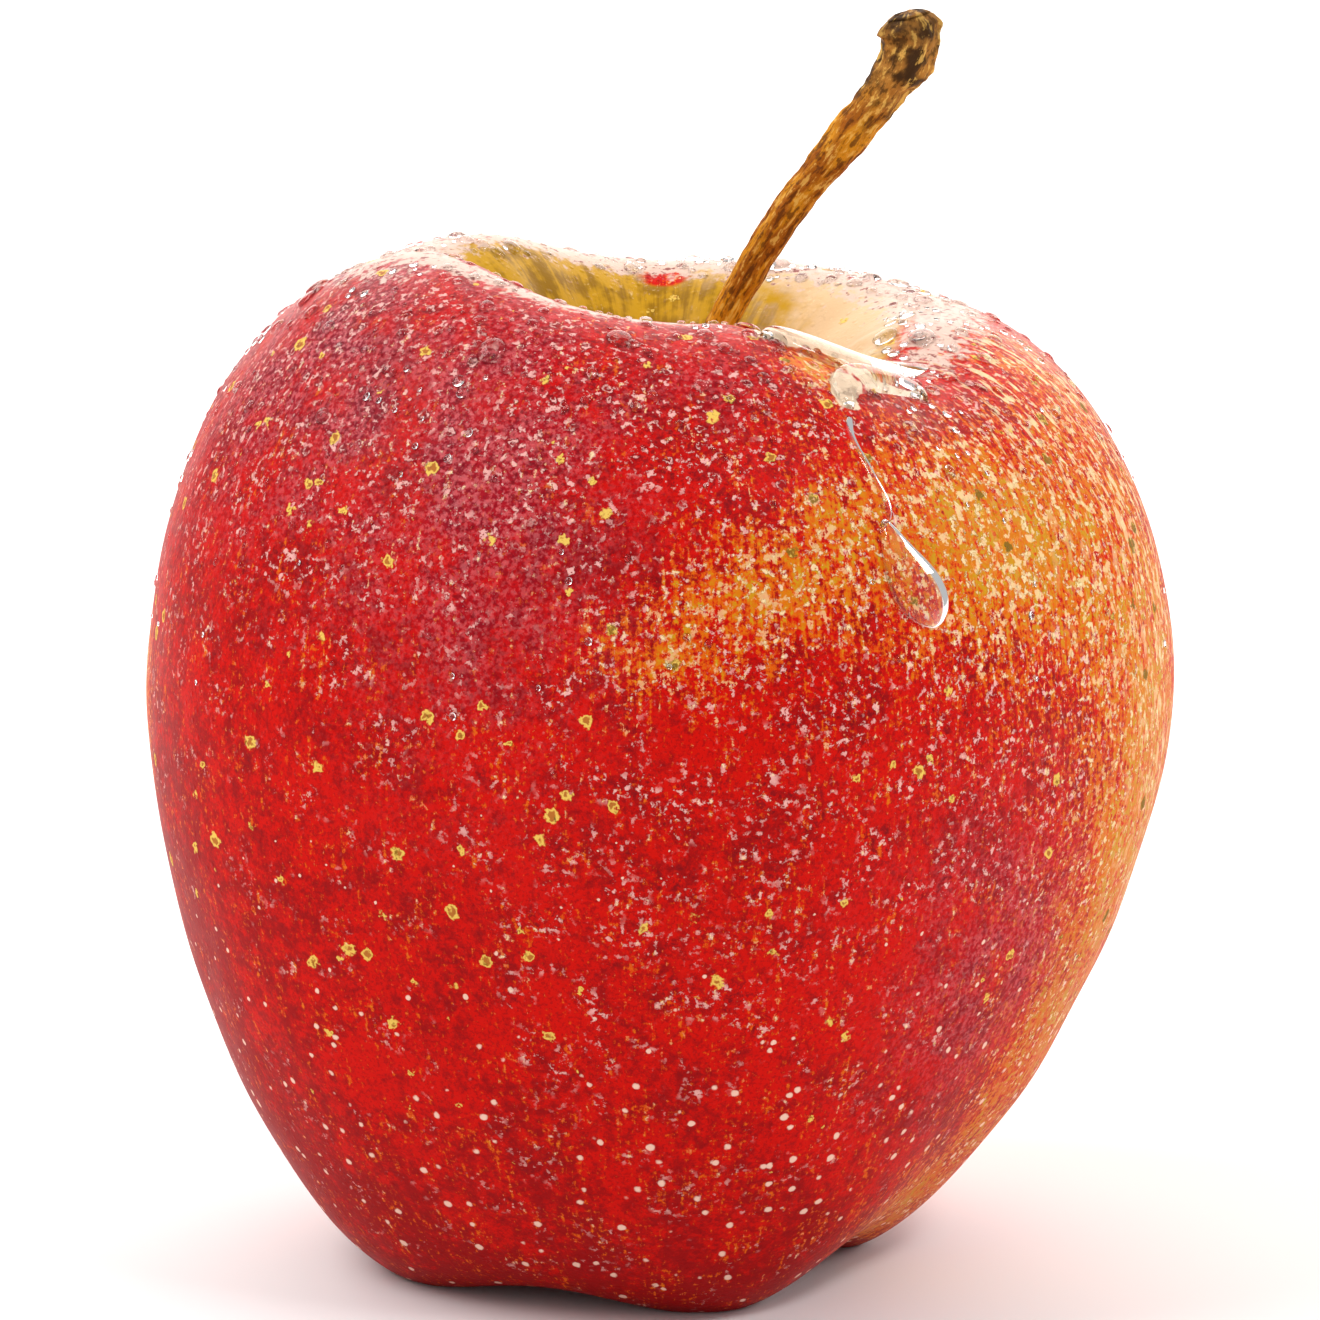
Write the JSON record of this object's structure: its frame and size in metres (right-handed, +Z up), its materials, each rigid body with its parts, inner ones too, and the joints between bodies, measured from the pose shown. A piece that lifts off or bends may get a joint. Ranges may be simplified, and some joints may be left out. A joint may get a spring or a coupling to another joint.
{
  "type": "apple",
  "caption": "Ripe red and yellow ribbed apple with a leaning stalk and a dried calyx, standing on its own lobes.",
  "frame": {"origin": "bottom centre of the apple's box: the middle of its outline, on the surface that the lobes rest on", "axes": "+Z up along the core, from the calyx to the stalk; -Y is the front; the stalk leans towards +X"},
  "size_m": [0.0746, 0.0744, 0.0917],
  "materials": {
    "apple_skin": "gloss",
    "stem_bark": "satin",
    "dried_sepal": "matte",
    "dried_stamen": "matte",
    "water": "polished"
  },
  "bodies": {
    "root": {"apple_body": "apple_skin", "stem": "stem_bark", "sepal_1": "dried_sepal", "sepal_2": "dried_sepal", "sepal_3": "dried_sepal", "sepal_4": "dried_sepal", "sepal_5": "dried_sepal", "stamen_tuft": "dried_stamen"}
  },
  "joints": []
}
